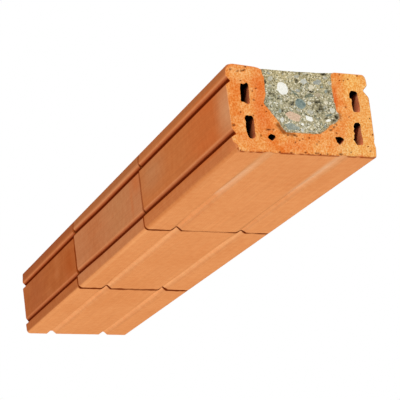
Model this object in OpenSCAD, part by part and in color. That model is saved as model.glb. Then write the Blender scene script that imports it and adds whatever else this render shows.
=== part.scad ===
// Ceramic lintel: three extruded clay U shells butted end to end, a concrete
// core cast into their channel and one steel bar cast into the core.
// Frame: X along the length, Y across, Z up, underside of the shells at Z = 0.

/* [Lintel] */

// Width over the side faces
lintel_w = 120; // [110:1:150]
// Height from the underside to the rims
lintel_h = 70; // [66:1:84]
// Length of one shell, joint included
shell_l = 250; // [150:5:333]
// Open joint between neighbouring shells, taken half from each
joint_gap = 1.2; // [0.4:0.1:3]

/* [Outer skin] */

// Radius of the top outer corners
rim_r = 2.5; // [1:0.5:5]
// Radius of the lower outer corners
base_r = 3.5; // [1:0.5:5.5]
// Depth of the grooves in the side faces
side_groove_d = 3.5; // [1:0.25:5]
// Width of the side grooves at the face
side_groove_w = 7; // [6:0.5:12]
// Width of the side grooves at their back
side_groove_back = 1; // [1:0.2:5]
// Height of the lower side grooves' middle
groove_low_z = 14; // [12:0.5:16]
// Drop from the rims to the upper side grooves' middle
groove_high_drop = 14.5; // [11:0.5:16]
// Depth of the two grooves in the underside
base_groove_d = 3; // [1:0.2:4]
// Width of the underside grooves
base_groove_w = 9.5; // [6:0.5:14]
// Width of the flat at the top of the underside grooves
base_groove_top = 2; // [1:0.25:5]
// Distance of each underside groove from the middle
base_groove_y = 30; // [24:0.5:36]

/* [Channel] */

// Width of the channel between the walls
channel_w = 58; // [48:0.5:74]
// Thickness of the shell's floor under the channel
floor_t = 17; // [16:0.5:20]
// Width of the channel's flat bottom
channel_floor_w = 29; // [20:0.5:36]
// Height of the lower bend in the channel's haunch
haunch_low_z = 22.5; // [21:0.5:26]
// Width of the channel at the lower bend
haunch_low_w = 40; // [37:0.5:44]
// Height of the upper bend, where the walls turn upright
haunch_high_z = 35.5; // [30:0.5:42]
// Width of the bevel along each inner rim edge
rim_bevel_w = 3; // [1:0.25:5]
// Drop of the bevel, and of the concrete's top, under the rims
rim_drop = 1; // [0.5:0.25:3]

/* [Perforations] */

// Width of the upright slots in the walls
slot_w = 7; // [5:0.1:8]
// Length of the upper slots
slot_high_l = 17; // [10:0.5:20]
// Length of the lower slots
slot_low_l = 18; // [10:0.5:20]
// Corner radius of the slots
slot_r = 2.6; // [1:0.1:3.5]
// Distance of the slots from the outer faces
slot_inset = 14.5; // [13:0.25:15]
// Height of the lower slots' middle
slot_low_z = 19.5; // [17:0.5:22]
// Height of the upper slots' middle
slot_high_z = 47; // [44:0.5:50]
// Diameter of the two small holes in the floor
pin_hole_d = 5.8; // [3:0.2:7]
// Distance of each small hole from the middle
pin_hole_y = 28; // [25:0.5:30]
// Height of the small holes' middle
pin_hole_z = 12.5; // [10:0.5:14]

/* [Reinforcement] */

// Diameter of the steel bar
bar_d = 10; // [6:1:14]
// Height of the bar's axis
bar_z = 40.5; // [36:0.5:54]

/* [Hidden] */

$fn = 64;

eps = 1;
n_shells = 3;
lintel_l = n_shells * shell_l;
half_w = lintel_w / 2;
half_ch = channel_w / 2;
core_h = lintel_h - rim_drop;
groove_high_z = lintel_h - groove_high_drop;
slot_y = half_w - slot_inset;

clay_near = [0.84, 0.50, 0.28];
clay_mid = [0.78, 0.47, 0.29];
clay_far = [0.70, 0.38, 0.19];
concrete = [0.62, 0.60, 0.51];
steel = [0.50, 0.55, 0.53];

// Extrudes a Y-Z section along X, from x0 to x1.
module along_x(x0, x1) {
    translate([x0, 0, 0])
        rotate([90, 0, 90])
            linear_extrude(height = x1 - x0) children();
}

// Both hands of a section drawn on the +Y side.
module both_sides() {
    children();
    mirror([1, 0]) children();
}

// What a rounded corner leaves off the square one, for a corner up and to the right.
module corner_waste(r) {
    difference() {
        square(r + eps);
        circle(r = r);
    }
}

// Outline of the shell before its channel, grooves and perforations are cut.
module outer_section() {
    difference() {
        translate([-half_w, 0]) square([lintel_w, lintel_h]);
        both_sides() {
            translate([half_w - rim_r, lintel_h - rim_r]) corner_waste(rim_r);
            translate([half_w - base_r, base_r]) mirror([0, 1]) corner_waste(base_r);
        }
    }
}

// Channel that the concrete fills, open at the top with bevelled edges.
module channel_section(top) {
    polygon([
        [-channel_floor_w / 2, floor_t], [channel_floor_w / 2, floor_t],
        [haunch_low_w / 2, haunch_low_z], [half_ch, haunch_high_z],
        [half_ch, top], [-half_ch, top],
        [-half_ch, haunch_high_z], [-haunch_low_w / 2, haunch_low_z]
    ]);
}

module rim_bevels() {
    polygon([
        [-half_ch, core_h], [half_ch, core_h],
        [half_ch + rim_bevel_w, lintel_h], [half_ch + rim_bevel_w, lintel_h + eps],
        [-half_ch - rim_bevel_w, lintel_h + eps], [-half_ch - rim_bevel_w, lintel_h]
    ]);
}

// One side groove: wide at the face, narrow at its back.
module side_groove(z) {
    polygon([
        [half_w + eps, z + side_groove_w / 2], [half_w, z + side_groove_w / 2],
        [half_w - side_groove_d, z + side_groove_back / 2],
        [half_w - side_groove_d, z - side_groove_back / 2],
        [half_w, z - side_groove_w / 2], [half_w + eps, z - side_groove_w / 2]
    ]);
}

module base_groove() {
    polygon([
        [base_groove_y - base_groove_w / 2, -eps], [base_groove_y - base_groove_w / 2, 0],
        [base_groove_y - base_groove_top / 2, base_groove_d],
        [base_groove_y + base_groove_top / 2, base_groove_d],
        [base_groove_y + base_groove_w / 2, 0], [base_groove_y + base_groove_w / 2, -eps]
    ]);
}

// Upright slot with rounded corners.
module slot(y, z, w, l, r) {
    translate([y, z])
        union() {
            square([w - 2 * r, l], center = true);
            square([w, l - 2 * r], center = true);
            for (sy = [-1, 1], sz = [-1, 1])
                translate([sy * (w / 2 - r), sz * (l / 2 - r)]) circle(r = r);
        }
}

module shell_section() {
    difference() {
        outer_section();
        channel_section(lintel_h + eps);
        rim_bevels();
        both_sides() {
            side_groove(groove_low_z);
            side_groove(groove_high_z);
            base_groove();
            slot(slot_y, slot_low_z, slot_w, slot_low_l, slot_r);
            slot(slot_y, slot_high_z, slot_w, slot_high_l, slot_r);
            translate([pin_hole_y, pin_hole_z]) circle(d = pin_hole_d);
        }
    }
}

// A shell between two planes.
module shell(x0, x1) {
    along_x(x0, x1) shell_section();
}

module shell_1() {
    color(clay_near) shell(shell_l / 2 + joint_gap / 2, lintel_l / 2);
}

module shell_2() {
    color(clay_mid) shell(-shell_l / 2 + joint_gap / 2, shell_l / 2 - joint_gap / 2);
}

module shell_3() {
    color(clay_far) shell(-lintel_l / 2, -shell_l / 2 - joint_gap / 2);
}

module concrete_core() {
    color(concrete)
        along_x(-lintel_l / 2, lintel_l / 2)
            difference() {
                channel_section(core_h);
                translate([0, bar_z]) circle(d = bar_d);
            }
}

module reinforcing_bar() {
    color(steel)
        along_x(-lintel_l / 2, lintel_l / 2)
            translate([0, bar_z]) circle(d = bar_d);
}

shell_1();
shell_2();
shell_3();
concrete_core();
reinforcing_bar();
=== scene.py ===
"""Looks for the ceramic lintel: extruded clay shells, sawn ends, concrete core and bar.

Lengths in the section tables are in millimetres, in the row frame: y across, z up.
The real section leans a little, and its rims stand at two heights, so each side has
an outline of its own.
"""

from functools import cached_property
import math
import random

import bpy
import numpy as np
from mathutils import Matrix, Vector, noise
from mathutils.geometry import delaunay_2d_cdt


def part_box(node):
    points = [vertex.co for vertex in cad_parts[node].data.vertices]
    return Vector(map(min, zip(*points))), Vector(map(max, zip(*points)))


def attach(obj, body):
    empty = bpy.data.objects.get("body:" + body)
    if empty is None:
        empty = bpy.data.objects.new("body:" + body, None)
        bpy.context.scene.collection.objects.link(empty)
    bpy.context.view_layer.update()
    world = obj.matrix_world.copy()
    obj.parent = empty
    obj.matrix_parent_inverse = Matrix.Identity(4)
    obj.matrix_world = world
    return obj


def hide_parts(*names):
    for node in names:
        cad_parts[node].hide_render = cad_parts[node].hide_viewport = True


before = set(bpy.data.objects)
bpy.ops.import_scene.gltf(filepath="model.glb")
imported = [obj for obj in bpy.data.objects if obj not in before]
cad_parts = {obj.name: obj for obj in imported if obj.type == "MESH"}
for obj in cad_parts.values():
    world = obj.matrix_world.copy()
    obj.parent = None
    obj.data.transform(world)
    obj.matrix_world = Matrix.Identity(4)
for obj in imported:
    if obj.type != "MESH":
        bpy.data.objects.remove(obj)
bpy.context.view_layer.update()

MM = 0.001
SHELLS = ["shell_1", "shell_2", "shell_3"]
HALF_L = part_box("concrete_core")[1].x / MM
JOINT = HALF_L / len(SHELLS)  # the two joints lie this far on either side of the middle

# The sawn ends, and a seed of its own for the noise of each kind of end.
SAWN = ("near", "far")
END_SEED = {"far": 3, "near": 4, "joint_one": 9, "joint_two": 10}

# ---------------- section

# The grooves in the underside: where each one's middle is, and how deep they are.
BASE_GROOVES = (-27.5, 32.2)
BASE_GROOVE_DEPTH = 3.4

# The side grooves: the wall beside each, its bottom's height, and its upper edge's.
SIDE_GROOVES = [(-56.6, 13.1, 16.6), (-59.8, 54.4, 57.8), (59.0, 13.2, 16.8), (55.6, 54.2, 58.2)]

# Outlines are y, z and the radius that rounds the corner there.
# From the middle of the underside out to the right, up the wall and over the rim.
RIGHT_SIDE = [
    (0, 0, 0), (27.6, 0, 1.5), (31.2, 3.4, 1.4), (33.6, 3.4, 1.4), (37.4, 0, 1.2), (60, 0, 2.2),
    (60, 9.4, 2.0), (55.7, 13.2, 0.9), (59.1, 16.2, 1.4), (57.3, 40, 20), (56.5, 48.8, 2.5),
    (51.9, 54.1, 1.5), (55.6, 58.4, 2.2), (55.0, 63, 6), (53.4, 67.1, 3.4), (28.6, 67.5, 0),
]

# From the channel's left edge over the rim, down the wall and in along the underside.
LEFT_SIDE = [
    (-33.2, 67.5, 0), (-36.4, 68.2, 3), (-55, 69.6, 20), (-60, 69.7, 2.4), (-60, 58.2, 1.8),
    (-56.1, 54.4, 1.0), (-59.9, 51.3, 1.8), (-59.4, 47, 10), (-57.3, 24, 30), (-56.7, 17.2, 1.6),
    (-53.5, 13.0, 0.8), (-56.8, 10.4, 1.2), (-55.7, 0, 4.6), (-32.9, 0, 1.2),
    (-29.4, 3.5, 1.4), (-26.2, 3.5, 1.4), (-22.2, 0, 1.4), (-1, 0, 0),
]

# The channel as the cut end shows it, from its right edge round to its left edge.
CHANNEL = [
    (27.4, 66.9, 0), (26.0, 65, 2), (26.2, 52, 30), (29.2, 35.4, 1.5), (31.2, 34.4, 1.4),
    (30.8, 29.8, 2.5), (27.2, 26.0, 0.8), (23.4, 24.6, 0.8), (19.4, 20.2, 2), (14.6, 17.0, 4),
    (-13.8, 17.0, 3), (-20.8, 28, 10), (-30.4, 39.4, 3), (-28.4, 46, 10), (-29.0, 60, 12),
    (-31.6, 66.6, 0),
]

# The torn outlines of the four slots and two small holes on a cut end.
SLOTS = [
    [(48.4, 37.2), (48.2, 42), (47.1, 49.6), (46.9, 52.2), (45.4, 53.5), (42, 53.6),
     (40.4, 51.4), (40.4, 47.3), (42, 46.8), (41.9, 42), (42.8, 36.7), (44.4, 36.1), (47.4, 36.2)],
    [(49.4, 12.4), (48.4, 20), (47.9, 27.0), (46.6, 28.2), (43.4, 27.8), (42.2, 25.2),
     (42.7, 22.8), (42.1, 21), (42.9, 19), (42.2, 17.2), (42.6, 15.8), (41.4, 14),
     (42.8, 12.6), (43.9, 9.9), (48.8, 10)],
    [(-41.4, 38.6), (-41.4, 44), (-41.9, 53.6), (-43.4, 55.5), (-45.3, 53.6), (-47.8, 54.4),
     (-48.4, 50), (-48.1, 39.6), (-45.2, 39.3), (-44.3, 38), (-42, 37.7)],
    [(-37.9, 12.4), (-38.6, 25.4), (-39.6, 28.8), (-44.6, 29.1), (-45.8, 26.6), (-44.9, 24),
     (-45.3, 21), (-44.6, 16), (-43.5, 12.2), (-42.2, 10.7), (-39, 10.8)],
]
SMALL_HOLES = [
    [(34.2, 13.8), (31.8, 15.8), (29.2, 15.9), (26.4, 15.4), (27.4, 12.7), (28.3, 10.6),
     (30.2, 8.8), (32.8, 11.5)],
    [(-21.6, 13.0), (-22.4, 14.8), (-23.9, 14.8), (-25.3, 15.6), (-27.0, 14.3), (-28.3, 12.6),
     (-27.2, 11.1), (-26.0, 10.4), (-24.5, 9.7), (-22.8, 11.2)],
]

# The sawn end of the bar, and the height of its middle.
BAR_Z = 40.5
BAR_OUTLINE = [
    (3.6, 41.6), (2.2, 43.4), (0.6, 44.6), (-2.2, 44.8), (-4.2, 42.9), (-4.8, 40.4),
    (-3.4, 38.2), (-1.2, 36.4), (1.4, 36.2), (3.4, 37.8), (4.3, 39.8),
]


def rounded(points, step=0.5):
    """A polyline of (y, z, radius) with an arc at each corner that has a radius."""
    most = 0.48  # the largest share of a side that an arc takes
    straight = 1.56  # half the angle of a corner that is as good as straight
    out = [points[0][:2]]
    for before, corner, after in zip(points, points[1:], points[2:]):
        p, q, r = (np.array(v[:2], float) for v in (before, corner, after))
        u, v = (p - q) / math.dist(p, q), (r - q) / math.dist(r, q)
        half = math.acos(max(-1.0, min(1.0, float(u @ v)))) / 2
        reach = min(corner[2] / math.tan(half), most * math.dist(p, q), most * math.dist(r, q))
        if half > straight or reach < 1e-6:
            out.append(tuple(q))
            continue
        radius = reach * math.tan(half)
        middle = q + (u + v) / np.linalg.norm(u + v) * radius / math.sin(half)
        first, last = q + u * reach - middle, q + v * reach - middle
        start = math.atan2(first[1], first[0])
        turn = (math.atan2(last[1], last[0]) - start + math.pi) % math.tau - math.pi
        n = max(2, math.ceil(abs(turn) * radius / step))
        for k in range(n + 1):
            a = start + turn * k / n
            out.append((middle[0] + radius * math.cos(a), middle[1] + radius * math.sin(a)))
    return out + [points[-1][:2]]


def spaced(points, step, closed=True):
    """The polyline again, with points at most step apart."""
    ends = points[1:] + points[:1] if closed else points[1:]
    out = []
    for a, b in zip(points, ends):
        n = max(1, math.ceil(math.dist(a, b) / step))
        out += [(a[0] + (b[0] - a[0]) * k / n, a[1] + (b[1] - a[1]) * k / n) for k in range(n)]
    return out if closed else out + [points[-1]]


def widened(points, share):
    """An outline stretched across by a share of its width."""
    middle = (min(y for y, _ in points) + max(y for y, _ in points)) / 2
    return [(middle + share * (y - middle), z) for y, z in points]


def eased(points, passes, closed=True):
    """Corners rounded by averaging each point with its neighbours."""
    p = np.array(points, float)
    for _ in range(passes):
        q = (np.roll(p, 1, 0) + 2 * p + np.roll(p, -1, 0)) / 4
        if not closed:
            q[0], q[-1] = p[0], p[-1]
        p = q
    return [tuple(v) for v in p]


def wobble(x, y, z, seed=0.0):
    """Smooth noise from about -1 to 1."""
    return noise.noise(Vector((x + seed * 17.3, y - seed * 5.1, z + seed * 9.7)))


def ragged(points, amount, fineness, seed):
    """The points again, each pushed about; fineness is in turns of noise a millimetre."""
    return [(y + amount * wobble(y * fineness, z * fineness, 0, seed),
             z + amount * wobble(y * fineness, z * fineness, 5, seed)) for y, z in points]


# Spacing of points along the section, the mouths of its holes, and the bar.
STEP, MOUTH_STEP, BAR_STEP = 0.85, 0.7, 0.8
channel_line = eased(spaced(rounded(CHANNEL), STEP, closed=False), 1, closed=False)
channel_line[1:-1] = ragged(ragged(channel_line[1:-1], 0.5, 0.4, 3), 0.35, 1.1, 7)
right_side = spaced(rounded(RIGHT_SIDE), STEP, closed=False)
left_side = spaced(rounded(LEFT_SIDE), STEP, closed=False)
OUTER = right_side + channel_line + left_side
mouths = [widened(s, 1.08) for s in SLOTS] + SMALL_HOLES
TORN = [OUTER] + [ragged(eased(spaced(h, MOUTH_STEP), 1), 0.3, 0.9, 11) for h in mouths]
SMOOTH = [OUTER] + [eased(h, 12) for h in TORN[1:]]
bar_loop = eased(spaced(BAR_OUTLINE, BAR_STEP), 2)


def core_section():
    """The concrete's outline, counter-clockwise: the channel's walls and a sagging top."""
    walls = channel_line[::-1]
    (y0, z0), (y1, z1) = walls[0], walls[-1]
    parts, deepest = 60, 0.85
    top = []
    for t in np.arange(1, parts) / parts:
        sag = deepest * math.sin(math.pi * t) ** 0.7 * math.sqrt(1 - t)
        top.append((y1 + (y0 - y1) * t, z1 + (z0 - z1) * t - sag))
    return walls + top


# ---------------- mesh tools


def inward(loop):
    """Unit vector into the material at each point of a loop, which has it on the left."""
    p = np.array(loop)
    t = np.roll(p, -1, 0) - np.roll(p, 1, 0)
    t /= np.maximum(np.linalg.norm(t, axis=1), 1e-9)[:, None]
    return np.stack([-t[:, 1], t[:, 0]], 1)


def inside(loops, pts):
    """Whether each point lies inside the loops, by the even-odd rule."""
    hit = np.zeros(len(pts), bool)
    for loop in loops:
        a = np.array(loop)
        b = np.roll(a, -1, 0)
        for (ay, az), (by, bz) in zip(a, b):
            if az == bz:
                continue
            across = (az > pts[:, 1]) != (bz > pts[:, 1])
            at = (by - ay) * (pts[:, 1] - az) / (bz - az) + ay
            hit ^= across & (pts[:, 0] < at)
    return hit


def nearest(loops, pts):
    """Distance from each point to the loops' own points."""
    out = np.full(len(pts), 1e9)
    for loop in loops:
        a = np.array(loop)
        for k in range(0, len(a), 200):
            d = np.linalg.norm(pts[:, None] - a[None, k:k + 200], axis=2).min(1)
            out = np.minimum(out, d)
    return out


def scattered(loops, pitch, clear, seed):
    """Jittered points inside the loops, clear of their edges."""
    rnd = np.random.default_rng(seed)
    a = np.concatenate([np.array(l) for l in loops])
    lo, hi = a.min(0), a.max(0)
    gy, gz = np.meshgrid(np.arange(lo[0], hi[0], pitch), np.arange(lo[1], hi[1], pitch))
    pts = np.stack([gy.ravel(), gz.ravel()], 1)
    pts += rnd.uniform(-0.32, 0.32, pts.shape) * pitch
    pts = pts[inside(loops, pts)]
    return pts[nearest(loops, pts) > clear]


def cap_triangles(loops, extra, walls=()):
    """Triangles over the loops and their middles.

    The triangles are indices into all loop points, then extra, then the walls' points.
    """
    pts, edges = [], []
    for outlines, inner in ((loops, extra), (walls, ())):
        for loop in outlines:
            n, size = len(pts), len(loop)
            edges += [(n + k, n + (k + 1) % size) for k in range(size)]
            pts += list(loop)
        pts += [tuple(p) for p in inner]
    made = delaunay_2d_cdt([Vector(p) for p in pts], edges, [], 0, 1e-7)
    verts, faces, source = made[0], made[2], made[3]
    if len(verts) > len(pts):
        raise RuntimeError("outlines cross on an end face")
    first = [s[0] for s in source]
    tri = np.array([[first[i] for i in f] for f in faces if len(f) == 3])
    p = np.array(pts)
    mid = p[tri].mean(1)
    tri, mid = tri[inside(loops, mid)], mid[inside(loops, mid)]
    a, b, c = (p[tri[:, k]] for k in range(3))
    turn = (b[:, 0] - a[:, 0]) * (c[:, 1] - a[:, 1]) - (b[:, 1] - a[:, 1]) * (c[:, 0] - a[:, 0])
    tri[turn < 0] = tri[turn < 0][:, ::-1]
    return tri, mid


def tube_faces(rings, size, start=0, n=None):
    """Faces through rings of size points, along n of their points from start on."""
    n = n or size
    faces = []
    for p in range(start, start + (rings - 1) * size, size):
        faces += [(p + k, p + (k + 1) % n, p + size + (k + 1) % n, p + size + k)
                  for k in range(n)]
    return faces


def cap_faces(tri, sign, *runs):
    """Faces of an end, from triangles over runs of points: the first and how many.

    Sign points into the solid along X.
    """
    t = np.concatenate([first + np.arange(n) for first, n in runs])[tri]
    return [tuple(int(v) for v in f) for f in (t[:, ::-1] if sign > 0 else t)]


def add_object(name, data):
    """An object that shows data, linked into the scene."""
    obj = bpy.data.objects.new(name, data)
    bpy.context.scene.collection.objects.link(obj)
    return obj


def build(name, verts, faces, materials, index):
    """A mesh object from millimetre points, with closed, outward faces."""
    mesh = bpy.data.meshes.new(name)
    mesh.from_pydata([tuple(v) for v in np.asarray(verts) * MM], [], faces)
    for m in materials:
        mesh.materials.append(m)
    mesh.polygons.foreach_set("material_index", np.asarray(index, np.int32))
    mesh.shade_smooth()
    mesh.set_sharp_from_angle(angle=math.radians(38))
    mesh.update()
    return add_object(name, mesh)


def paint(obj, name, values, domain="POINT"):
    """A colour attribute of linear RGB rows, or a float one of single values."""
    values = np.asarray(values, np.float32)
    if values.ndim == 1:
        a = obj.data.attributes.new(name, "FLOAT", domain)
        a.data.foreach_set("value", values)
        return
    a = obj.data.attributes.new(name, "FLOAT_COLOR", domain)
    a.data.foreach_set("color", np.column_stack([values, np.ones(len(values))]).ravel())


# ---------------- colour


def rgb(r, g, b):
    """Linear values of an sRGB colour written 0 to 255."""
    return np.array([(c / 255 / 12.92) if c <= 10 else ((c / 255 + 0.055) / 1.055) ** 2.4
                     for c in (r, g, b)])


def blend(a, b, t):
    """Rows of colour a with the share t of colour b laid over them."""
    t = np.clip(np.asarray(t, float), 0, 1)[..., None]
    return a * (1 - t) + b * t


def laid(c, *coats):
    """Colour c with coats laid over it in order, each an sRGB colour and its strength."""
    for r, g, b, strength in coats:
        c = blend(c, rgb(r, g, b), strength)
    return c


def bump_at(v, centre, width):
    """A smooth bump, 1 at centre and 0 past width."""
    t = np.clip(1 - np.abs(v - centre) / width, 0, 1)
    return t * t * (3 - 2 * t)


def spot(y, z, at_y, reach_y, at_z, reach_z):
    """A smooth spot, 1 in its middle and 0 past its reach across and up."""
    return bump_at(y, at_y, reach_y) * bump_at(z, at_z, reach_z)


def line_bump(y, z, a, b, width):
    """A smooth bump, 1 on the line from a to b and 0 past width from it."""
    a, b = np.array(a), np.array(b)
    off = np.stack([y, z], -1) - a
    share = np.clip(off @ (b - a) / ((b - a) @ (b - a)), 0, 1)
    return bump_at(np.linalg.norm(off - share[..., None] * (b - a), axis=-1), 0, width)


def step_at(v, at, width):
    """A smooth rise from 0 to 1 around at."""
    t = np.clip((v - at) / width + 0.5, 0, 1)
    return t * t * (3 - 2 * t)


def slow(pts, sx, sy, sz, seed):
    """Soft noise from 0 to 1 at each point, with its own pitch along each axis."""
    return np.array([0.5 + 0.5 * wobble(x / sx, y / sy, z / sz, seed) for x, y, z in pts])


class Nodes:
    """A short way to write the node tree of a material or a world."""

    def __init__(self, name, family="materials", output="OutputMaterial"):
        self.owner = getattr(bpy.data, family).new(name)
        self.owner.use_nodes = True
        self.tree = self.owner.node_tree
        self.tree.nodes.clear()
        self.out = self.add(output).inputs[0]

    @cached_property
    def place(self):
        """Each point's place on the object."""
        return self.add("TexCoord").outputs["Object"]

    def put(self, socket, value):
        if isinstance(value, bpy.types.NodeSocket):
            self.tree.links.new(value, socket)
        elif isinstance(value, (tuple, list, np.ndarray)) and socket.type == "RGBA":
            socket.default_value = (*[float(c) for c in value[:3]], 1)
        elif isinstance(value, (tuple, list, np.ndarray)):
            socket.default_value = [float(c) for c in value]
        else:
            socket.default_value = value

    def add(self, kind, values=(), **settings):
        n = self.tree.nodes.new("ShaderNode" + kind)
        for k, v in settings.items():
            setattr(n, k, v)
        for k, v in dict(values).items():
            self.put(n.inputs[k], v)
        return n

    def vector(self, op, a, b):
        return self.add("VectorMath", {0: a, 1: b}, operation=op).outputs[0]

    def scaled(self, *scale):
        return self.vector("MULTIPLY", self.place, scale)

    def noise(self, scale, detail=2.0, rough=0.5, where=None):
        n = self.add("TexNoise", {
            "Vector": where or self.place, "Scale": scale, "Detail": detail, "Roughness": rough})
        return n.outputs["Fac"]

    def cells(self, scale, where=None):
        return self.add("TexVoronoi", {"Vector": where or self.place, "Scale": scale})

    def ramp(self, value, stops, smooth=True):
        n = self.add("ValToRGB", {"Fac": value})
        n.color_ramp.interpolation = "LINEAR" if smooth else "CONSTANT"
        e = n.color_ramp.elements
        while len(e) < len(stops):
            e.new(0.5)
        for k, (at, c) in enumerate(stops):
            e[k].position = at
            c = (c, c, c) if isinstance(c, (int, float)) else c
            e[k].color = (*[float(v) for v in c], 1)
        return n.outputs["Color"]

    def math(self, op, a, b):
        return self.add("Math", {0: a, 1: b}, operation=op).outputs[0]

    def mix(self, t, a, b, how="MIX"):
        n = self.add("Mix", data_type="RGBA", blend_type=how)
        self.put(n.inputs[0], t)
        self.put(n.inputs[6], a)
        self.put(n.inputs[7], b)
        return n.outputs[2]

    def cover(self, c, mask, share, colour):
        """A colour with another laid over a share of a mask."""
        return self.mix(self.math("MULTIPLY", mask, share), c, colour)

    def times(self, c, value, stops):
        """A colour multiplied by a ramp over a value."""
        return self.mix(1.0, c, self.ramp(value, stops), "MULTIPLY")

    def attribute(self, name, value=False):
        n = self.add("Attribute", attribute_name=name)
        return n.outputs["Fac" if value else "Color"]

    def surface(self, colour, rough, height, distance, strength, specular, metallic=0.0):
        """The finished surface, with a relief from height."""
        relief = self.add("Bump", {
            "Height": height, "Distance": distance, "Strength": strength})
        skin = self.add("BsdfPrincipled", {
            "Base Color": colour, "Roughness": rough, "Specular IOR Level": specular,
            "Metallic": metallic, "Normal": relief.outputs[0]})
        self.put(self.out, skin.outputs[0])
        return self.owner


def clay_skin(name):
    """The extruded, fired face: drag lines along X, mottling, fine grain and the painted tint,
    which holds painted highlights, sheen and shade.
    """
    n = Nodes(name)
    drag = n.noise(1.0, 3, 0.6, n.scaled(9, 900, 900))
    mottle = n.noise(150, 3, 0.55)
    grain = n.noise(1500, 2, 0.6)
    c = n.attribute("tint")
    c = n.times(c, drag, [(0.35, 0.95), (0.65, 1.05)])
    c = n.times(c, mottle, [(0.36, (0.97, 0.94, 0.92)), (0.64, (1.02, 1.05, 1.07))])
    c = n.times(c, grain, [(0.34, (0.95, 0.91, 0.87)), (0.66, (1.04, 1.07, 1.11))])
    h = n.mix(0.35, grain, drag)
    return n.surface(c, 0.8, h, 0.0002, 0.4, 0.0)


def clay_cut(name):
    """The sawn face: open grain, dark pores and patches of deeper orange."""
    n = Nodes(name)
    grain = n.noise(760, 2, 0.55)
    lumps = n.noise(300, 3, 0.6)
    c = n.attribute("cut")
    c = n.times(c, lumps, [(0.32, (0.96, 0.86, 0.72)), (0.68, (1.03, 1.14, 1.3))])
    c = n.times(c, grain, [(0.38, (0.9, 0.74, 0.5)), (0.5, (1.0, 1.0, 1.0)),
                           (0.62, (1.05, 1.28, 1.7))])
    pores = n.ramp(n.noise(640, 2, 0.6), [(0.27, 1.0), (0.34, 0.0)])
    c = n.cover(c, pores, 0.7, rgb(178, 82, 30))
    c = n.cover(c, n.attribute("pit", True), 0.9, rgb(84, 34, 10))
    h = n.mix(0.5, grain, lumps)
    return n.surface(c, 0.9, h, 0.0004, 0.5, 0.0)


def concrete_cut(name):
    """Sawn concrete: face-painted stones in a matrix of sand grains and paste."""
    n = Nodes(name)
    warp = n.add("TexNoise", {"Vector": n.place, "Scale": 700.0, "Detail": 2.0})
    push = n.vector("MULTIPLY", warp.outputs["Color"], (0.0012, 0.0012, 0.0012))
    where = n.vector("ADD", n.place, push)
    sand, silt = n.cells(620, where), n.cells(1150, where)
    pick = n.add("SeparateColor", {0: sand.outputs["Color"]}).outputs[0]
    pick_fine = n.add("SeparateColor", {0: silt.outputs["Color"]}).outputs[1]
    grains = n.ramp(pick, [
        (0.0, rgb(66, 60, 42)), (0.09, rgb(150, 142, 110)), (0.28, rgb(196, 184, 148)),
        (0.45, rgb(164, 156, 124)), (0.6, rgb(218, 208, 176)), (0.72, rgb(174, 180, 170)),
        (0.8, rgb(140, 130, 96)), (0.89, rgb(255, 252, 240))], smooth=False)
    paste = n.ramp(pick_fine, [
        (0.0, rgb(78, 70, 48)), (0.15, rgb(168, 158, 126)), (0.45, rgb(200, 188, 152)),
        (0.68, rgb(146, 142, 112)), (0.86, rgb(244, 236, 212))], smooth=False)
    edge = n.ramp(sand.outputs["Distance"], [(0.25, 0.0), (0.5, 1.0)])
    c = n.mix(edge, grains, paste)
    c = n.mix(0.2, c, n.attribute("paste"))
    c = n.mix(1.0, c, n.attribute("cast"), "MULTIPLY")
    c = n.times(c, n.noise(140, 3, 0.6), [(0.3, (0.88, 0.89, 0.87)), (0.7, (1.1, 1.09, 1.07))])
    voids = n.ramp(n.noise(560, 2, 0.55), [(0.25, 1.0), (0.31, 0.0)])
    c = n.cover(c, voids, 0.7, rgb(74, 70, 50))
    c = n.mix(n.attribute("rim", True), c, rgb(170, 112, 62))
    tint = n.attribute("stone_tint")
    tint = n.times(tint, n.noise(800, 3, 0.6), [(0.3, 0.9), (0.7, 1.08)])
    c = n.mix(n.attribute("stone", True), c, tint)
    c = n.mix(n.attribute("pit", True), c, rgb(52, 46, 30))
    h = n.mix(0.5, n.noise(900, 3, 0.6), sand.outputs["Distance"])
    return n.surface(c, 0.85, h, 0.0004, 0.5, 0.1)


def concrete_top(name):
    """Floated concrete: grey paste with laitance, drag marks and small bubbles."""
    n = Nodes(name)
    broad, fine = n.noise(38, 4, 0.6), n.noise(600, 4, 0.65)
    drag = n.noise(1.0, 4, 0.6, n.scaled(24, 260, 260))
    c = n.ramp(broad, [(0.3, rgb(142, 138, 120)), (0.7, rgb(178, 174, 156))])
    c = n.times(c, fine, [(0.3, 0.84), (0.7, 1.12)])
    c = n.times(c, drag, [(0.3, 0.92), (0.7, 1.06)])
    bubbles = n.ramp(n.cells(150).outputs["Distance"], [(0.1, 1.0), (0.16, 0.0)])
    c = n.cover(c, bubbles, 0.75, rgb(84, 80, 66))
    h = n.mix(0.4, fine, drag)
    h = n.cover(h, bubbles, 0.6, (0, 0, 0))
    return n.surface(c, 0.88, h, 0.0012, 0.8, 0.15)


def sawn_steel(name):
    """The bar: mill-grey skin and a sawn end smeared with cement."""
    n = Nodes(name)
    film, fine = n.noise(330, 3, 0.6), n.noise(1.0, 2, 0.6, n.scaled(400, 500, 2600))
    c = n.ramp(film, [(0.34, rgb(100, 114, 108)), (0.5, rgb(127, 142, 135)),
                      (0.66, rgb(154, 162, 150))])
    c = n.times(c, fine, [(0.3, 0.84), (0.7, 1.12)])
    return n.surface(c, 0.6, fine, 0.0003, 0.4, 0.2, 0.1)


# ---------------- shells


def ring_places(x0, x1):
    """Ring positions along a shell, close together near its ends."""
    near = [0, 0.3, 0.7, 1.2, 2.0, 3.0, 4.5, 7.0, 10.0, 14.0]
    inner = np.linspace(x0 + 19, x1 - 19, 36)
    return [x0 + d for d in near] + list(inner) + [x1 - d for d in reversed(near)]


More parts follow.
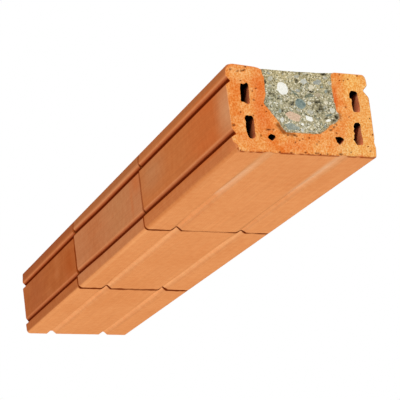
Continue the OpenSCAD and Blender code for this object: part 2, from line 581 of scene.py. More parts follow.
# Pores and nicks on the near cut face: y, z, half width, half height.
NEAR_PITS = [
    (-55.4, 64.8, 0.7, 0.6), (-49.6, 63.7, 0.9, 0.4), (-46.8, 63.9, 0.6, 0.4),
    (-45.4, 64.2, 0.5, 0.5), (-44.3, 64.9, 1.0, 0.6), (-43.4, 67.5, 1.0, 0.4),
    (-47.6, 56.3, 0.4, 0.4), (-27.0, 18.5, 2.2, 0.5), (-23.2, 18.6, 0.9, 0.4),
    (-54.4, 20.6, 1.2, 0.8), (-33.2, 13.2, 0.6, 0.7), (-38.5, 28.9, 0.5, 0.4),
    (-5.8, 15.2, 1.2, 0.4), (-4.6, 14.3, 0.8, 0.5), (-11.6, 14.8, 0.7, 0.6),
    (23.8, 20.8, 1.2, 0.6), (26.4, 23.2, 1.0, 0.6), (28.6, 25.2, 0.8, 0.6),
    (28.2, 18.4, 0.7, 0.4), (58.2, 18.9, 0.5, 1.0), (48.0, 66.0, 0.5, 0.7),
    (2.0, 1.9, 0.8, 0.5), (10.4, 1.8, 0.8, 0.4), (12.2, 1.6, 0.8, 0.5), (14.0, 1.0, 0.8, 0.4),
    (30.8, 1.8, 1.6, 0.6), (-9.4, 0.8, 1.0, 0.5), (-18.6, 0.9, 0.8, 0.5), (20.0, 1.2, 0.6, 0.5),
    (-50.4, 1.2, 0.9, 0.4), (11.8, 8.8, 0.4, 0.4), (13.4, 11.0, 0.4, 0.3), (40.2, 62.6, 0.4, 0.4),
    (-48.6, 31.0, 0.4, 0.4), (-38.6, 48.6, 0.4, 0.3),
]


def pore_field(seed, count):
    """Small pores strewn over a cut face, in the form of NEAR_PITS."""
    r = random.Random(seed)
    pits = []
    for _ in range(count):
        size = r.uniform(0.2, 0.5)
        pits.append((r.uniform(-58, 58), r.uniform(2, 66), size * 1.2, size))
    return pits


def pitting(pts, pits, margin, fall):
    """How deep each point of an end face lies in a pit, from 0 to 1."""
    out = np.zeros(len(pts))
    for y, z, a, b in pits:
        d = np.hypot((pts[:, 0] - y) / (a + margin), (pts[:, 1] - z) / (b + margin))
        out = np.maximum(out, np.clip(1.5 - fall * d, 0, 1))
    return out


def with_pits(extra, pits, loops):
    """The face's inner points with one at the middle of each pit."""
    at = np.array([(y, z) for y, z, _, _ in pits])
    at = at[inside(loops, at)]
    at = at[nearest(loops, at) > 0.6]
    return np.concatenate([extra[nearest([at], extra) > 0.45], at])


def underside_tint(p, soft, patchy):
    """Colour of the underside and of its two grooves, with painted highlights and painted shade."""
    x, y, _ = p.T
    c = laid(rgb(227, 148, 90), (232, 154, 95, (soft - 0.5) * 1.4),
             (219, 137, 79, (0.5 - soft) * 1.4))
    first = x > JOINT
    # Painted highlight along each underside groove, faint on the first shell.
    groove_highlight = np.where(first, 0.08, np.where(x > -JOINT, 0.5, 0.35)) * (0.6 + 0.7 * patchy)
    for gy in BASE_GROOVES:
        # Painted shade: duller, darker bands on either side inside each groove.
        groove_shade = np.where(first, 0.75 * bump_at(y, gy + 3.2, 2.9), 0.6 * bump_at(y, gy + 4.2, 2.6))
        # near: a broad painted highlight along each groove towards the near cut end.
        if gy < 0:
            near = 0.72 * step_at(x, 242, 20) * (1 - 0.7 * step_at(x, 338, 60))
            near = near * bump_at(y, gy - 0.3, 5.0)
        else:
            near = 0.88 * step_at(x, 262, 40) * (1 - 0.45 * step_at(x, 358, 24))
            near = near * bump_at(y, gy - 1.9, 5.8)
        c = laid(c, (212, 144, 91, groove_shade),
                 (214, 149, 93, 0.5 * bump_at(y, gy - 2.4, 4.4)),
                 (240, 184, 128, groove_highlight * bump_at(y, gy + 1.9, 3.0)),
                 (236 if gy < 0 else 237, 181, 137 if gy < 0 else 135, near))
    # A painted highlight along the underside's left corner, and painted shade beside it on the
    # first shell.
    corner = np.where(np.abs(x) < JOINT, 0.4, 0.1)
    return laid(c, (236, 166, 108, corner * bump_at(y, -52.6, 2.6)),
                (208, 127, 71, np.where(first, 0.9 * bump_at(y, -54.7, 3.8), 0)))


# Colours of each shell's flank, rims and feet, and of the painted highlight on the upper edges of
# its grooves.
FLANKS = {
    "shell_1": ((196, 113, 61), (182, 107, 62), (199, 118, 68), (226, 148, 96)),
    "shell_2": ((195, 123, 79), (173, 101, 58), (198, 123, 76), (226, 148, 96)),
    "shell_3": ((184, 103, 55), (163, 88, 50), (182, 104, 58), (218, 136, 86)),
}


def flank_patches(shell, along, z, soft, patchy):
    """Fired patches and painted sheen on a flank as coats; along is the distance from the near cut
    end.
    """
    # The greyish coats, and the pale band by the near cut on the first shell, are painted sheen.
    red, grey = (200, 103, 50), (192, 124, 79)
    if shell == "shell_1":
        return [(*red, 0.8 * bump_at(along, 58, 80) * (0.35 + patchy)),
                (*grey, 0.9 * spot(along, z, 212, 62, 40, 26)),
                (212, 146, 100, 0.9 * spot(along, z, 4, 36, 34, 34))]
    if shell == "shell_2":
        return [(*grey, 0.9 * bump_at(along, 330, 70) * (0.3 + soft)),
                (*red, 0.55 * spot(along, z, 262, 24, 46, 16)),
                (*red, 0.4 * spot(along, z, 281, 5, 34, 26)),
                (189, 110, 64, 0.6 * bump_at(along, 420, 60) * (0.4 + patchy))]
    return [(160, 78, 34, 0.9 * (patchy - 0.42)),
            (192, 116, 72, 1.2 * (0.5 - patchy)),
            (176, 84, 34, 0.6 * spot(along, z, 526, 44, 28, 34)),
            (176, 97, 55, 0.7 * bump_at(along, 690, 90))]


def flank_tint(p, shell, soft, patchy):
    """Colour of a shell's side faces, with painted highlights on their grooves' upper edges and
    painted shade deep in the grooves.
    """
    x, y, z = p.T
    plain, rim, foot, lit = FLANKS[shell]
    c = laid(rgb(*plain), *flank_patches(shell, HALF_L - x, z, soft, patchy),
             (*rim, 0.9 * step_at(z, 60.6, 2.5)), (*foot, 0.85 * step_at(-z, -8.8, 2)))
    for wall, bottom, upper in SIDE_GROOVES:
        # Painted shade darkens each groove towards its deepest part, weaker on the right side; lit
        # is a painted highlight on its upper edge.
        same_side = np.sign(y) == np.sign(wall)
        deep = np.where(same_side, np.clip((abs(wall) - np.abs(y)) / 2.7, 0, 1), 0)
        deep = deep * (1 if wall < 0 else 0.55)
        deep = deep * (z > bottom - 4.5) * (z < upper + 0.6)
        above = z > bottom
        c = laid(c, (*lit, 0.9 * (bump_at(z, upper - 0.3, 1.8) * same_side)),
                 (174, 92, 52, np.where(above, deep * 2.2, 0)),
                 (156, 70, 30, np.where(above, deep * 2.4 - 0.9, deep * 6)),
                 (154, 55, 8, np.where(above, deep * 3 - 1.9, deep * 2.6)))
    return c


def joint_shade_and_dirt(p, x0, x1):
    """How darkly each point of a shell from x0 to x1 is painted beside the open joints, from 0 to
    1: painted shade of the gaps, with dirt.
    """
    x, y, z = p.T
    near_joint = np.minimum(
        np.where(x0 > -HALF_L + 1, x - x0, 1e3), np.where(x1 < HALF_L - 1, x1 - x, 1e3))
    flat = (z < 2) & (np.abs(y) < 55)
    second = 3.3 - 1.1 * bump_at(y, -23, 9) + 0.9 * bump_at(y, 18, 9)
    first = 1.5 + 1.1 * bump_at(y, -45, 8) + 1.6 * bump_at(y, 32, 6)
    wide = np.where(flat, np.where(x < 0, second, first), np.where(x < 0, 1.7, 1.3))
    wide = wide * (0.75 + 1.0 * (slow(p, 6, 5, 5, 51) - 0.35))
    faint = 0.8 * np.clip(1.9 * bump_at(y, 2, 30) + bump_at(y, 44, 7), 0, 1)
    faint = np.where(x > 0, faint, 0.3 * bump_at(y, 6, 24))
    faint = np.where(flat, faint, 0.3 * step_at(z, np.where(x > 0, 12, 42), 8))
    return (1 - faint) * step_at(-near_joint, -wide, 1.0)


def skin_tint(p, shell, x0, x1):
    """Base colour of the fired skin, with its painted highlights, sheen and shade, at points p of
    the plain section, in millimetres.
    """
    x, y, z = p.T
    soft, patchy = slow(p, 70, 40, 30, 2), slow(p, 26, 14, 12, 4)
    low = step_at(-z, -1.9, 1.6) * (np.abs(y) < 59)
    in_groove = (z < 6) & (np.abs(y) < 50)
    c = blend(flank_tint(p, shell, soft, patchy), underside_tint(p, soft, patchy),
              np.maximum(low, in_groove))
    top = (z > 66) & (np.abs(y) < 57.5)
    c[top] = laid(rgb(228, 146, 92), (214, 122, 66, slow(p[top], 30, 12, 12, 21)))
    burr = step_at(x, HALF_L - 1.3, 0.8) * (z < 1.5) * step_at(slow(p, 40, 4, 40, 71), 0.42, 0.3)
    # Painted shade, with dirt, beside the open joints.
    return laid(c, (126, 48, 6, joint_shade_and_dirt(p, x0, x1)), (150, 62, 24, 0.9 * burr))


# Patches on the cut faces: colour, strength, then middle and reach across and up. The last is a
# painted shadow under the channel's right ledge.
CUT_PATCHES = [
    (248, 180, 94, 0.8, 43, 14, 62, 16), (226, 96, 36, 0.85, 28.4, 3.6, 45, 18),
    (249, 178, 106, 0.6, -45, 17, 63, 12), (234, 118, 54, 0.7, -33.5, 8, 44, 30),
    (236, 126, 60, 0.6, -6, 16, 7, 9), (234, 118, 54, 0.6, -30, 14, 25, 12),
    (236, 126, 48, 0.75, -54, 7, 36, 24), (247, 168, 96, 0.6, -46, 14, 7, 8),
    (140, 76, 36, 0.85, 30.6, 3.8, 32, 5),
]


def cut_tint(p):
    """Base colour of the sawn face at points p, with a painted shadow under the channel's right
    ledge.
    """
    _, y, z = p.T
    patch = slow(p * [0, 1, 1], 9, 11, 9, 31)
    fine = slow(p * [0, 1, 1], 9, 3.6, 3.2, 33)
    between_slots = 0.8 * spot(y, z, 37, 9, 35, 12)
    return laid(
        rgb(243, 156, 82),
        (236, 128, 54, (patch - 0.42) * 2.4),
        (249, 178, 104, (0.46 - patch) * 2.2),
        (234, 124, 50, (fine - 0.55) * 1.6),
        (250, 186, 116, (0.4 - fine) * 1.6),
        (245, 196, 122, 0.9 * spot(y, z, 41, 18, 6, 14)),
        (246, 176, 96, 0.75 * step_at(y, 36, 7) * (1 - between_slots)),
        *[(r, g, b, strength * spot(y, z, *place)) for r, g, b, strength, *place in CUT_PATCHES],
        (138, 80, 38, 0.95 * line_bump(y, z, (-19.5, 22.8), (-15.2, 17.2), 2.8)),
        (158, 90, 42, 0.85 * line_bump(y, z, (-15, 17), (-7, 15.2), 2.2)),
        (226, 110, 54, 0.85 * spot(y, z, 47, 4.5, 0.8, 2.6)),
        (158, 66, 24, 0.9 * step_at(-z, -0.9, 0.7) * step_at(fine, 0.36, 0.3)))


def end_shift(points, place):
    """How far a cut or butted end stands back at each point, in millimetres."""
    seed = END_SEED[place]
    if place in SAWN:
        return np.array([0.12 + 0.12 * wobble(y * 0.05, z * 0.05, 0, 17 - seed)
                         for y, z in points])
    return np.array([0.1 + 0.35 * abs(wobble(y * 0.045, z * 0.045, 0, 15 + seed))
                     + 0.1 * abs(wobble(y * 0.4, z * 0.4, 0, 16)) for y, z in points])


def edge_wear(y, z, place):
    """Radius of the worn edge at a point of the outline."""
    seed = END_SEED[place]
    wear = (0.25 if place in SAWN else 0.45) \
        + 0.5 * max(0, wobble(y * 0.22, z * 0.22, 3, 19 + seed)) \
        + 0.35 * max(0, wobble(y * 0.7, z * 0.7, 3, 23 + seed))
    if place == "near":
        wear += 1.5 * bump_at(math.dist((y, z), (-55.5, 3.5)), 0, 5)
        wear += 1.0 * bump_at(math.dist((y, z), (-59.4, 68.6)), 0, 5)
    return wear


# The chip off the near lower left corner, as the line it leaves in the cut face.
CHIP_FOOT, CHIP_TOP = (-50.6, 0.0), (-57.2, 9.4)


def settle(shell, x, y, z):
    """Crooked stretches of the outer skin: how far a point moves across and up."""
    dy, dz = 0.0, 0.0
    # the left side's grooves lie higher on the first shell, and climb along the second
    grooves = step_at(z, 8.5, 1.5) * step_at(-z, -61, 3) * (y < 0)
    high = step_at(z, 36, 20)
    if shell == "shell_1":
        dz += (1.0 + 0.25 * high) * grooves
    if shell == "shell_2":
        part = step_at(-x, 62, 125)
        dz += (0.5 + (1.0 + 0.5 * high) * part) * grooves
    # the left rim's worn corner
    if y < -50 and z > 60:
        worn = (0.55 + 0.0013 * x) * bump_at(math.dist((y, z), (-59.3, 69.2)), 0, 6.5)
        dy += 0.75 * worn
        dz -= 0.75 * worn
    # the underside's grooves: the right one bends, and both turn to a V at the joints
    if z < 5:
        dy -= 1.5 * bump_at(x, -JOINT, 80) * bump_at(y, BASE_GROOVES[1], 16)
    for groove in BASE_GROOVES:
        if abs(y - groove) < 8 and z < 5:
            left_of = max(0.0, groove + 1.3 - y)
            at_joint = bump_at(abs(x), JOINT, 60)
            dy += 0.5 * at_joint * left_of * min(1.0, z / BASE_GROOVE_DEPTH)
            if shell != "shell_1":
                edge = JOINT if shell == "shell_2" else -JOINT
                dy += 0.22 * left_of * step_at(x, edge - 14, 24) * min(1.0, z / 0.8)
            shallow = 0.3 * step_at(x, 80, 80) * (groove > 0)
            if shell == "shell_1":
                shallow = max(shallow, 0.86 * step_at(x, 290, 170))
            dz -= shallow * z
    # the chip
    if shell == "shell_1" and y < -45 and z < 10:
        (y0, z0), (y1, z1) = CHIP_FOOT, CHIP_TOP
        length = math.dist(CHIP_FOOT, CHIP_TOP)
        out_y, out_z = (z0 - z1) / length, (y1 - y0) / length
        beyond = (y - y0) * out_y + (z - z0) * out_z
        cut = step_at(x, HALF_L - 7, 14) * max(0.0, beyond)
        dy -= cut * out_y
        dz -= cut * out_z
    # the right side's lower groove, all but filled at the cut end
    if shell == "shell_1" and y > 54 and z < 20:
        filled = max(0.0, 1 - (HALF_L - x) / 30)
        wall = 60 - 0.05 * z
        dy += 0.85 * filled * max(0.0, wall - y) * step_at(z, 5, 3)
    return dy, dz


# A shell's section as single points: torn at a cut end, smooth inside, the way into the clay
# at each, and which of them are on the outer skin and on the channel.
torn_points, smooth_points = (np.array([v for l in loops for v in l]) for loops in (TORN, SMOOTH))
into_clay = np.concatenate([inward(l) for l in SMOOTH])
ring_size = len(torn_points)
on_skin = np.arange(ring_size) < len(OUTER)
on_channel = np.zeros(ring_size, bool)
on_channel[len(right_side):len(right_side) + len(channel_line)] = True


def shell_rings(name, places, low_end, high_end):
    """The section at each place along a shell, worn and set back at the ends."""
    ends = [(e, at, sign, np.array([edge_wear(y, z, e) for y, z in torn_points]),
             end_shift(torn_points, e))
            for e, at, sign in ((low_end, places[0], 1), (high_end, places[-1], -1))]
    settling, tearing = 14.0, 4.5  # how far in an end's set-back and its torn edges reach
    rows = []
    for x in places:
        inset = np.zeros(ring_size)
        xs = np.full(ring_size, x, float)
        tear = 0.0
        for e, at, sign, wear, back in ends:
            d = abs(x - at)
            r = wear * np.where(on_skin, 1.0, 0.4)
            k = np.clip(1 - d / np.maximum(r, 1e-6), 0, 1)
            inset += r * (1 - np.sqrt(np.clip(1 - k * k, 0, 1)))
            xs += sign * back * max(0.0, 1 - d / settling)
            if e in SAWN:
                tear = max(tear, 1 - d / tearing)
        inset += np.where(on_skin, [0.06 + 0.06 * wobble(x / 60, y / 25, z / 25, 6)
                                    for y, z in torn_points], 0)
        inset[on_channel] = 0
        yz = smooth_points + (torn_points - smooth_points) * tear + into_clay * inset[:, None]
        yz[on_skin] += [settle(name, x, y, z) for y, z in torn_points[on_skin]]
        yz[on_channel] = torn_points[on_channel]
        rows.append(np.stack([xs, yz[:, 0], yz[:, 1]], 1))
    return rows


def end_face(end, edge):
    """A shell's end inside the ring edge: triangles, inner points, their depth and pitting."""
    cuts = np.cumsum([len(l) for l in TORN])[:-1]
    loops = [[tuple(v) for v in part] for part in np.split(edge, cuts)]
    if end in SAWN:
        pits = (NEAR_PITS if end == "near" else []) + pore_field(51 if end == "near" else 52, 34)
        extra = with_pits(scattered(loops, 0.8, 0.45, 5), pits, loops)
        pitted = pitting(extra, pits, 0.2, 1.2)
        rough = np.array([abs(wobble(y * 0.55, z * 0.55, 1, 27)) * 0.22
                          + abs(wobble(y * 1.4, z * 1.4, 1, 29)) * 0.12 for y, z in extra])
    else:
        extra = scattered(loops, 4.0, 1.5, 5)
        pitted, rough = np.zeros(len(extra)), np.zeros(len(extra))
    depth = end_shift(extra, end) + rough + 0.9 * pitted
    return cap_triangles(loops, extra)[0], extra, depth, pitted


def cell_shade(points, heights):
    """How much painted shade darkens each point of the rings in a slot or hole, from 0 to 1: more
    deeper from the cut, faster on the left, and near each opening's top.
    """
    from_cut = HALF_L - np.abs(points[:, 0])
    shade = np.clip((from_cut - 3) / np.where(points[:, 1] > 0, 20, 10), 0, 0.9)
    tops = np.concatenate([np.full(len(l), max(z for _, z in l)) for l in SMOOTH])
    under_top = np.resize(tops, len(points)) - heights
    return np.maximum(shade, 1.6 - under_top / 2.4)


def make_shell(name, low_end, high_end, skin, cut):
    """One shell, from its rings and end faces, with its colours painted on."""
    lo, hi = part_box(name)
    x0, x1 = lo.x / MM, hi.x / MM
    places = ring_places(x0, x1)
    rows = shell_rings(name, places, low_end, high_end)
    verts = np.concatenate(rows)
    n_rings = len(verts)
    faces, start = [], 0
    for loop in TORN:
        faces += tube_faces(len(places), ring_size, start, len(loop))
        start += len(loop)
    index = [0] * len(faces)
    pit = [np.zeros(n_rings)]
    for e, row, x_end, sign in ((low_end, 0, x0, 1), (high_end, len(places) - 1, x1, -1)):
        tri, extra, depth, pitted = end_face(e, rows[row][:, 1:])
        faces += cap_faces(tri, sign, (row * ring_size, ring_size), (len(verts), len(extra)))
        index += [1] * len(tri)
        verts = np.concatenate([verts, np.column_stack([x_end + sign * depth, extra])])
        pit.append(pitted * 0.85)
    obj = build(name + "_fired", verts, faces, [skin, cut], index)
    plain = verts.copy()
    plain[:n_rings, 1:] = np.tile(smooth_points, (len(places), 1))
    tint = skin_tint(plain, name, x0, x1)
    rings, on_rings = verts[:n_rings], tint[:n_rings]
    # Walls of the slots and holes: a lit colour, lighter in the right-hand ones, darkened by
    # painted shade.
    cells = np.tile(~on_skin, len(places))
    lit = np.where(rings[:, 1:2] > 0, rgb(232, 142, 94), rgb(208, 117, 72))
    shade = cell_shade(rings, plain[:n_rings, 2])
    on_rings[cells] = laid(lit[cells], (18, 7, 3, shade[cells]))
    on_rings[np.tile(on_channel, len(places))] = rgb(214, 112, 58)
    face = cut_tint(verts)
    # The butted faces at the joints are painted dark brown: painted shade in the gaps between
    # shells, with dirt.
    for e, butt in ((high_end, verts[:, 0] > x1 - 2), (low_end, verts[:, 0] < x0 + 2)):
        if e not in SAWN:
            face[butt] = laid(face[butt], (140, 54, 8, 0.9))
    paint(obj, "tint", tint)
    paint(obj, "cut", face)
    paint(obj, "pit", np.concatenate(pit))
    return obj


skins = {s: clay_skin("fired_skin_" + s[-1]) for s in SHELLS}
sawn = clay_cut("sawn_clay")
ENDS = {"shell_1": ("joint_one", "near"), "shell_2": ("joint_two", "joint_one"),
        "shell_3": ("far", "joint_two")}
for s in SHELLS:
    piece = make_shell(s, *ENDS[s], skins[s], sawn)
    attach(piece, "root")
    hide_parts(s)

# ---------------- concrete and bar

WHITE, CREAM, PINK = rgb(246, 244, 234), rgb(232, 222, 196), rgb(230, 192, 164)
BLUE, TEAL, GREY = rgb(162, 168, 164), rgb(144, 156, 150), rgb(186, 184, 170)
OLIVE, DARK, SLATE = rgb(130, 128, 100), rgb(96, 98, 80), rgb(110, 122, 114)

# Stones that stand out on the near cut: y, z, width, height, turn, raggedness, colour.
NEAR_STONES = [
    (-14.3, 51.8, 8.8, 10.4, 0.25, 0.12, WHITE), (-6.8, 30.2, 12.8, 5.8, -0.28, 0.25, PINK),
    (-8.6, 22.0, 12.4, 4.6, -0.25, 0.35, TEAL), (9.0, 54.0, 5.0, 4.0, 0.1, 0.3, CREAM),
    (3.4, 58.6, 5.4, 3.8, 0.3, 0.35, rgb(206, 208, 200)), (6.3, 29.0, 6.0, 3.8, -0.3, 0.3, WHITE),
    (25.4, 36.4, 4.4, 4.2, 0.2, 0.3, rgb(222, 220, 204)), (21.8, 28.2, 4.4, 1.8, 0.2, 0.3, WHITE),
    (-15.8, 26.8, 3.8, 3.4, 0.8, 0.3, rgb(232, 232, 224)), (-23.6, 59.4, 5.0, 3.2, 0.5, 0.35, GREY),
    (7.2, 41.6, 3.0, 3.6, 0.5, 0.35, rgb(220, 220, 208)), (6.6, 34.6, 4.6, 3.4, 0.2, 0.35, GREY),
    (14.2, 58.4, 5.8, 4.2, 0.2, 0.35, BLUE), (21.6, 37.8, 4.4, 5.2, 0.3, 0.35, BLUE),
    (7.4, 47.4, 7.2, 3.0, 0.25, 0.4, rgb(92, 102, 86)),
    (-4.0, 48.4, 8.4, 1.9, -0.65, 0.3, rgb(92, 106, 92)),
    (0.6, 24.2, 2.8, 2.4, 0.0, 0.3, WHITE), (0.4, 19.4, 2.6, 2.8, 0.3, 0.3, rgb(224, 224, 216)),
    (-8.4, 54.4, 3.6, 2.2, 0.2, 0.3, rgb(222, 216, 196)), (-2.6, 35.4, 3.2, 1.8, -0.5, 0.3, GREY),
    (-24.6, 39.8, 2.4, 1.6, 0.2, 0.3, CREAM), (-20.0, 40.0, 2.2, 1.6, 0.0, 0.3, CREAM),
    (14.8, 42.4, 7.4, 1.1, 0.02, 0.25, rgb(70, 70, 54)), (24.2, 58.4, 2.8, 3.4, 0.3, 0.3, GREY),
    (4.4, 65.0, 3.6, 1.4, 0.1, 0.3, rgb(210, 206, 186)), (11.0, 31.4, 2.4, 2.0, 0, 0.3, DARK),
    (22.8, 32.6, 6.0, 1.6, 0.3, 0.35, SLATE), (-27.4, 36.6, 2.8, 1.6, -0.6, 0.3, GREY),
    (14.4, 48.4, 4.6, 3.4, 0.3, 0.35, rgb(178, 160, 134)), (20.8, 62.4, 3.4, 2.0, 0.1, 0.3, GREY),
]


def stone_loop(y, z, w, h, turn, rag, seed):
    """A broken stone's outline: an oval, pushed in and out."""
    n = max(9, round(math.pi * (w + h) / 2 / 0.9))
    out = []
    for k in range(n):
        a = math.tau * k / n
        r = 1 + rag * 1.4 * wobble(math.cos(a) * 1.2, math.sin(a) * 1.2, seed, 2)
        r += rag * 0.7 * wobble(math.cos(a) * 3.1, math.sin(a) * 3.1, seed, 4)
        u, v = w / 2 * r * math.cos(a), h / 2 * r * math.sin(a)
        out.append((y + u * math.cos(turn) - v * math.sin(turn),
                    z + u * math.sin(turn) + v * math.cos(turn)))
    return out


def stones(chosen, seed, count, loops):
    """Outlines and colours of stones that don't touch each other or the loops."""
    r = random.Random(seed)
    kept = []

    def offer(y, z, w, h, turn, rag, shape, colour):
        size = max(w, h)
        loop = stone_loop(y, z, w, h, turn, rag, shape)
        p = np.array(loop)
        if not inside(loops, p).all() or nearest(loops, p).min() < 0.4:
            return
        for k in kept:
            if math.dist((y, z), k[0]) < size + k[1] and (
                    nearest([k[2]], p).min() < 0.5 or inside([k[2]], p).any()
                    or inside([loop], np.array(k[2])).any()):
                return
        kept.append(((y, z), size, loop, colour))

    for i, (y, z, w, h, turn, rag, colour) in enumerate(chosen):
        offer(y, z, w, h, turn, rag, i * 1.7, colour)
    palette = [CREAM, GREY, GREY, BLUE, TEAL, OLIVE, OLIVE, DARK, rgb(190, 180, 150),
               rgb(168, 154, 126), rgb(156, 156, 134), rgb(206, 200, 178)]
    for k in range(3000):
        if len(kept) >= count:
            break
        size = r.choice([1.4, 1.7, 2.0, 2.4, 3.0, 3.6])
        offer(r.uniform(-30, 31), r.uniform(17.5, 66), size * r.uniform(0.85, 1.25),
              size * r.uniform(0.6, 1.0), r.uniform(0, 3), 0.35, k,
              r.choice(palette) * r.uniform(0.9, 1.08))
    return kept


# Voids and dark grains on the near cut: y, z, half width, half height.
NEAR_VOIDS = [
    (20, 65.4, 1.7, 0.5), (-28.2, 57, 0.8, 0.6), (-2.2, 59.0, 0.8, 1.0), (0.6, 63.8, 0.5, 0.5),
    (-14.8, 34.0, 0.8, 0.6), (23.6, 51.8, 0.5, 0.5), (-5.6, 41.0, 1.6, 0.6), (-7.0, 39.6, 1.2, 0.5),
    (20.4, 30, 1.2, 0.4), (-24.4, 47.2, 0.6, 0.4), (-21.2, 46.2, 0.4, 0.7), (15.6, 37.0, 0.7, 0.7),
    (3.4, 39.4, 0.5, 0.5), (-17.8, 43.6, 0.4, 0.4), (9.2, 50.6, 1.6, 0.4), (-24, 29.4, 0.5, 0.6),
    (28.9, 31.4, 1.2, 1.4), (26.8, 28.6, 0.9, 0.7), (13.8, 42.6, 2.6, 0.5), (17.6, 37.2, 1.0, 0.6),
    (16.4, 39.4, 0.9, 0.5), (-27.6, 55.8, 0.6, 0.4), (13.4, 35.2, 0.8, 0.4),
]


def core_rings(places):
    """The concrete's section at each place: uneven along its floated top, set back at the ends."""
    flat = np.array(core_section())
    size = len(flat)
    n_wall = len(channel_line)
    back = {e: end_shift(flat, e) for e in SAWN}
    reach = 3.0  # how far in an end's set-back reaches
    rows = []
    for x in places:
        yz = flat.copy()
        for k in range(n_wall, size):
            t = min(1.0, (k - n_wall + 1) / 6, (size - k) / 6)
            y = yz[k, 0]
            dip = 0.35 * wobble(x / 22, y / 9, 0, 33) + 0.22 * wobble(x / 5, y / 4, 0, 35)
            yz[k, 1] += t * min(0.1 + 0.4 * math.sin(math.pi * t / 2), dip)
        xs = np.full(size, x)
        for e, sign in (("far", 1), ("near", -1)):
            xs += sign * back[e] * max(0.0, 1 - abs(x + sign * HALF_L) / reach)
        rows.append(np.stack([xs, yz[:, 0], yz[:, 1]], 1))
    return rows


def make_core(top_mat, cut_mat):
    """The concrete, bored for the bar, with stones, sand and voids in its sawn ends."""
    places = list(np.concatenate([
        [-HALF_L, -HALF_L + 0.8, -HALF_L + 2.5], np.linspace(-HALF_L + 6, HALF_L - 6, 180),
        [HALF_L - 2.5, HALF_L - 0.8, HALF_L]]))
    rows = core_rings(places)
    size = len(rows[0])
    verts = np.concatenate(rows)
    faces = tube_faces(len(places), size)
    bore = bar_loop[::-1]
    n, low_bore = len(bore), len(verts)
    for e, sign in (("far", 1), ("near", -1)):
        mouth = np.column_stack([sign * (end_shift(bore, e) - HALF_L), bore])
        verts = np.concatenate([verts, mouth])
    faces += tube_faces(2, n, low_bore)
    index, stone, tint = [0] * len(faces), [0.0] * len(faces), [np.zeros(3)] * len(faces)
    pit, rim = [np.zeros(len(verts))], [np.zeros(len(verts))]
    for e, row, bore_at, sign in (("far", 0, low_bore, 1),
                                  ("near", len(places) - 1, low_bore + n, -1)):
        loops = [[tuple(v) for v in rows[row][:, 1:]], bore]
        found = stones(NEAR_STONES if e == "near" else [], 61 if e == "near" else 62, 64, loops)
        walls = [s[2] for s in found]
        extra = scattered(loops, 1.0, 0.5, 7)
        extra = extra[nearest(walls, extra) > 0.4]
        tri, mid = cap_triangles(loops, extra, walls)
        pts = np.concatenate([extra] + [np.array(w) for w in walls])
        in_stone = np.full(len(mid), -1)
        p_stone = np.arange(len(pts)) >= len(extra)
        for k, w in enumerate(walls):
            in_stone[inside([w], mid)] = k
            p_stone |= inside([w], pts)
        voids = NEAR_VOIDS if e == "near" else [(-y, 84 - z, a, b) for y, z, a, b in NEAR_VOIDS]
        deep = pitting(pts, voids, 0.3, 1.0)
        deep[p_stone & (deep < 0.6)] = 0
        pit.append(deep)
        close = np.clip(1 - nearest([channel_line], pts) / 1.3, 0, None)
        patchy = slow([(y, z, 0) for y, z in pts], 5, 5, 5, 40)
        rim.append(0.6 * close * np.where(pts[:, 1] < 34, 1, 0.3) * (0.4 + patchy))
        rim[0][row * size:row * size + len(channel_line)] = 0.55
        sand = [abs(wobble(y * 0.6, z * 0.6, 2, 37)) for y, z in pts]
        depth = end_shift(pts, e) + np.where(p_stone, 0, 0.1 + 0.35 * np.array(sand)) + deep
        faces += cap_faces(tri, sign, (row * size, size), (bore_at, n), (len(verts), len(pts)))
        verts = np.concatenate([verts, np.column_stack([sign * (depth - HALF_L), pts])])
        index += [1] * len(tri)
        stone += [0.0 if k < 0 else 1.0 if min(found[k][3]) > 0.75 else 0.72 for k in in_stone]
        tint += [found[k][3] if k >= 0 else np.zeros(3) for k in in_stone]
    obj = build("concrete_core_cast", verts, faces, [top_mat, cut_mat], index)
    paint(obj, "stone", stone, "FACE")
    paint(obj, "stone_tint", np.array(tint), "FACE")
    paint(obj, "pit", np.concatenate(pit))
    paint(obj, "rim", np.concatenate(rim))
    y, z = verts[:, 1], verts[:, 2]
    drift = slow(verts * [0, 1, 1], 9, 7, 6, 57)
    paste = laid(rgb(176, 166, 134), (184, 172, 128, step_at(z, 55, 14)),
                 (146, 144, 118, 0.7 * step_at(drift, 0.55, 0.3)))
    cast = np.ones(3)
    for colour, strength in (
            ([0.94, 1.0, 1.06], spot(y, z, -24, 16, 40, 20)),
            ([1.04, 1.0, 0.92], step_at(z, 56, 12)),
            ([0.74, 0.73, 0.70], 0.7 * spot(y, z, 15, 10, 38, 11))):
        cast = blend(cast, np.array(colour), strength)
    paint(obj, "paste", paste)
    paint(obj, "cast", cast)
    return obj


def make_bar(mat):
    """The bar at its end outline, with a sawn face at each end."""
    places = np.linspace(-HALF_L, HALF_L, 40)
    n, last = len(bar_loop), len(places) - 1
    verts = np.array([(x, y, z) for x in places for y, z in bar_loop])
    faces = tube_faces(len(places), n)
    extra = scattered([bar_loop], 1.0, 0.4, 9)
    tri, _ = cap_triangles([bar_loop], extra)
    dome = [0.12 * math.hypot(y, z - BAR_Z) / 5 + 0.08 * abs(wobble(y, z, 0, 43))
            for y, z in extra]
    for e, row, sign in (("far", 0, 1), ("near", last, -1)):
        verts[row * n:(row + 1) * n, 0] += sign * end_shift(bar_loop, e)
        faces += cap_faces(tri, sign, (row * n, n), (len(verts), len(extra)))
        x = sign * (end_shift(extra, e) + dome - HALF_L)
        verts = np.concatenate([verts, np.column_stack([x, extra])])
    return build("reinforcing_bar_sawn", verts, faces, [mat], [0] * len(faces))


core = make_core(concrete_top("floated_concrete"), concrete_cut("sawn_concrete"))
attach(core, "root")
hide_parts("concrete_core")

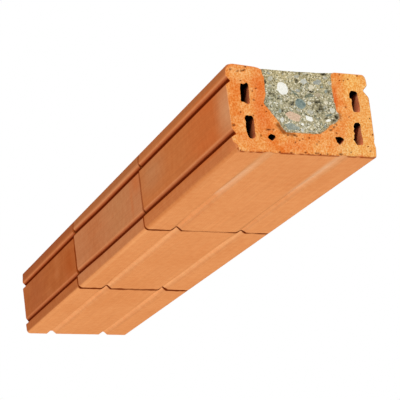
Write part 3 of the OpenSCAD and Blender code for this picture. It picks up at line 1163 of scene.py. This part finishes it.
bar = make_bar(sawn_steel("sawn_steel"))
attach(bar, "root")
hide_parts("reinforcing_bar")

# ---------------- stage, light, camera


def make_floor():
    """A pale floor seen from above only, so the view from below stays clear."""
    mesh = bpy.data.meshes.new("floor")
    s, z = 30.0, -0.0003
    mesh.from_pydata([(-s, -s, z), (s, -s, z), (s, s, z), (-s, s, z)], [], [(0, 1, 2, 3)])
    floor = add_object("floor", mesh)
    n = Nodes("floor")
    side = n.add("NewGeometry").outputs["Backfacing"]
    paper = n.add("BsdfDiffuse", {"Color": (0.93, 0.93, 0.93)}).outputs[0]
    clear = n.add("BsdfTransparent").outputs[0]
    n.put(n.out, n.add("MixShader", {0: side, 1: paper, 2: clear}).outputs[0])
    mesh.materials.append(n.owner)
    for kind in ("diffuse", "glossy", "transmission", "shadow"):
        setattr(floor, "visible_" + kind, False)
    return floor


make_floor()


def sun(name, towards, share, softness):
    """A soft lamp in the direction towards; share is the part of full light it gives head on."""
    data = bpy.data.lights.new(name, "SUN")
    data.energy = share * math.pi
    data.angle = math.radians(softness)
    lamp = add_object(name, data)
    lamp.rotation_mode = "QUATERNION"
    lamp.rotation_quaternion = Vector(towards).to_track_quat("Z", "Y")


sun("key_front", (0.70, -0.38, 0.60), 0.85, 10)
sun("key_below", (0.05, -0.35, -0.93), 0.70, 12)
sun("fill_back", (-0.75, 0.62, 0.20), 0.70, 25)

# Strength of the light from all round, and of the white that is seen behind the lintel.
AMBIENT, BACKDROP = 0.35, 1.0


def make_world():
    """Soft even light, with a white backdrop for the rays that show it."""
    n = Nodes("studio", "worlds", "OutputWorld")
    soft_light, backdrop = (
        n.add("Background", {"Color": (1, 1, 1), "Strength": strength}).outputs[0]
        for strength in (AMBIENT, BACKDROP))
    ray = n.add("LightPath")
    seen = n.math("MAXIMUM", ray.outputs["Is Camera Ray"], ray.outputs["Is Glossy Ray"])
    seen = n.math("MAXIMUM", seen, ray.outputs["Is Transmission Ray"])
    mix = n.add("MixShader", {0: seen, 1: soft_light, 2: backdrop})
    n.put(n.out, mix.outputs[0])
    return n.owner


bpy.context.scene.world = make_world()

# The camera: where it aims, its distance, the direction it looks from, its roll and lens.
AIM = Vector((0.0, 0.03587, 0.06276))
DISTANCE = 1.7466
AZIMUTH, ELEVATION, ROLL = -17.682, -14.463, -2.218
cam_data = bpy.data.cameras.new("camera")
cam_data.sensor_width = 36
cam_data.lens = 163.32
cam_data.clip_start, cam_data.clip_end = 0.05, 100
cam = add_object("camera", cam_data)
view = (Matrix.Rotation(math.radians(AZIMUTH), 4, "Z")
        @ Matrix.Rotation(math.radians(-ELEVATION), 4, "Y"))
away = (view @ Vector((1, 0, 0))).normalized()
level = Vector((0, 0, 1)).cross(away).normalized()
roll = Matrix.Rotation(math.radians(ROLL), 4, away)
right, up = roll @ level, roll @ away.cross(level)
turn = Matrix((right, up, away)).transposed().to_4x4()
cam.matrix_world = Matrix.Translation(AIM + away * DISTANCE) @ turn
bpy.context.scene.camera = cam
bpy.context.scene.view_settings.view_transform = "Standard"
